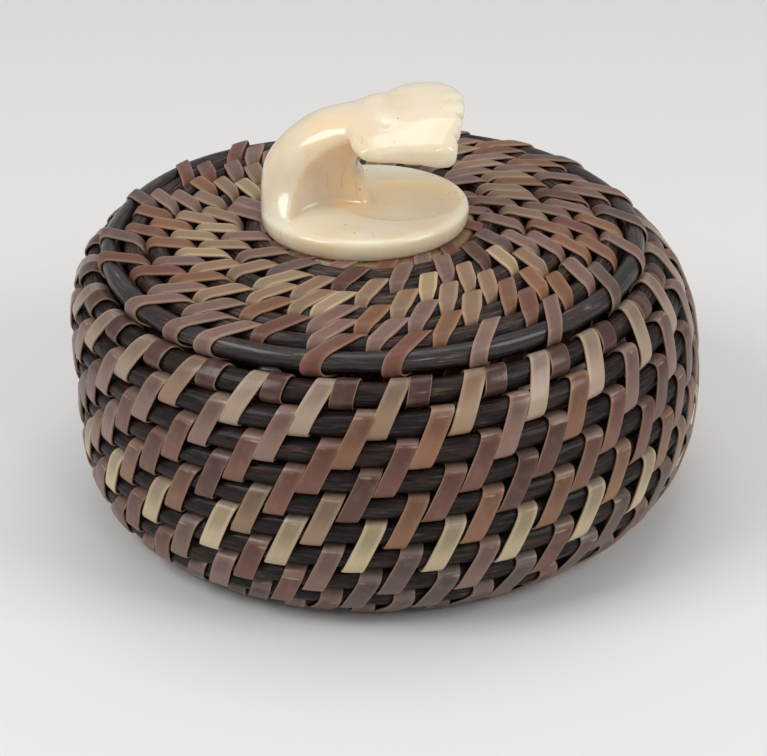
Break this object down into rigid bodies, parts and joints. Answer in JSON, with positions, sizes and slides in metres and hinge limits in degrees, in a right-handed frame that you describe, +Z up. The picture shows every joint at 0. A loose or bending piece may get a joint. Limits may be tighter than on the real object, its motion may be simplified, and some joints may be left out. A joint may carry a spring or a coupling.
{
  "type": "lidded coiled basket",
  "caption": "Small lidded basket coiled from round baleen rod on a pierced ivory disc, with a carved ivory tail as the lid's handle.",
  "frame": {"origin": "on the ground that the flattened underside of the foot coil stands on, under the middle of the basket's outline from above", "axes": "+Z up out of the mouth, -Y towards the side that the picture shows as the front, +X to the right in the picture, where the carved tail points"},
  "size_m": [0.089, 0.0886, 0.0604],
  "materials": {
    "dark_baleen": "near-black baleen rod with a fibrous satin sheen",
    "lid_baleen": "near-black baleen rod, streaked brown, satin",
    "brown_strip": "split baleen strip, reddish brown, satin",
    "ivory": "polished walrus ivory",
    "peg_baleen": "plain baleen peg"
  },
  "bodies": {
    "basket": {"base_disc": "ivory", "floor_coil_1": "dark_baleen", "floor_coil_2": "dark_baleen", "floor_coil_3": "dark_baleen", "floor_coil_4": "dark_baleen", "foot_coil": "dark_baleen", "wall_coil_01": "dark_baleen", "wall_coil_02": "dark_baleen", "wall_coil_03": "dark_baleen", "wall_coil_04": "dark_baleen", "wall_coil_05": "dark_baleen", "wall_coil_06": "dark_baleen", "wall_coil_07": "dark_baleen", "wall_coil_08": "dark_baleen", "wall_coil_09": "dark_baleen", "wall_coil_10": "dark_baleen", "rim_coil": "dark_baleen", "rim_binding": "brown_strip"},
    "lid": {"lid_disc": "ivory", "lid_coil_1": "lid_baleen", "lid_coil_2": "lid_baleen", "lid_coil_3": "lid_baleen", "lid_coil_4": "lid_baleen", "lid_coil_5": "lid_baleen", "lid_coil_6": "lid_baleen", "lid_edge_coil": "lid_baleen", "flange_coil_1": "lid_baleen", "flange_coil_2": "lid_baleen", "finial": "ivory", "finial_peg_left": "peg_baleen", "finial_peg_right": "peg_baleen"}
  },
  "joints": [
    {"name": "lid_lift", "type": "slide", "parent": "basket", "child": "lid", "axis": [0, 0, 1], "range_m": [0, 0.045]}
  ]
}
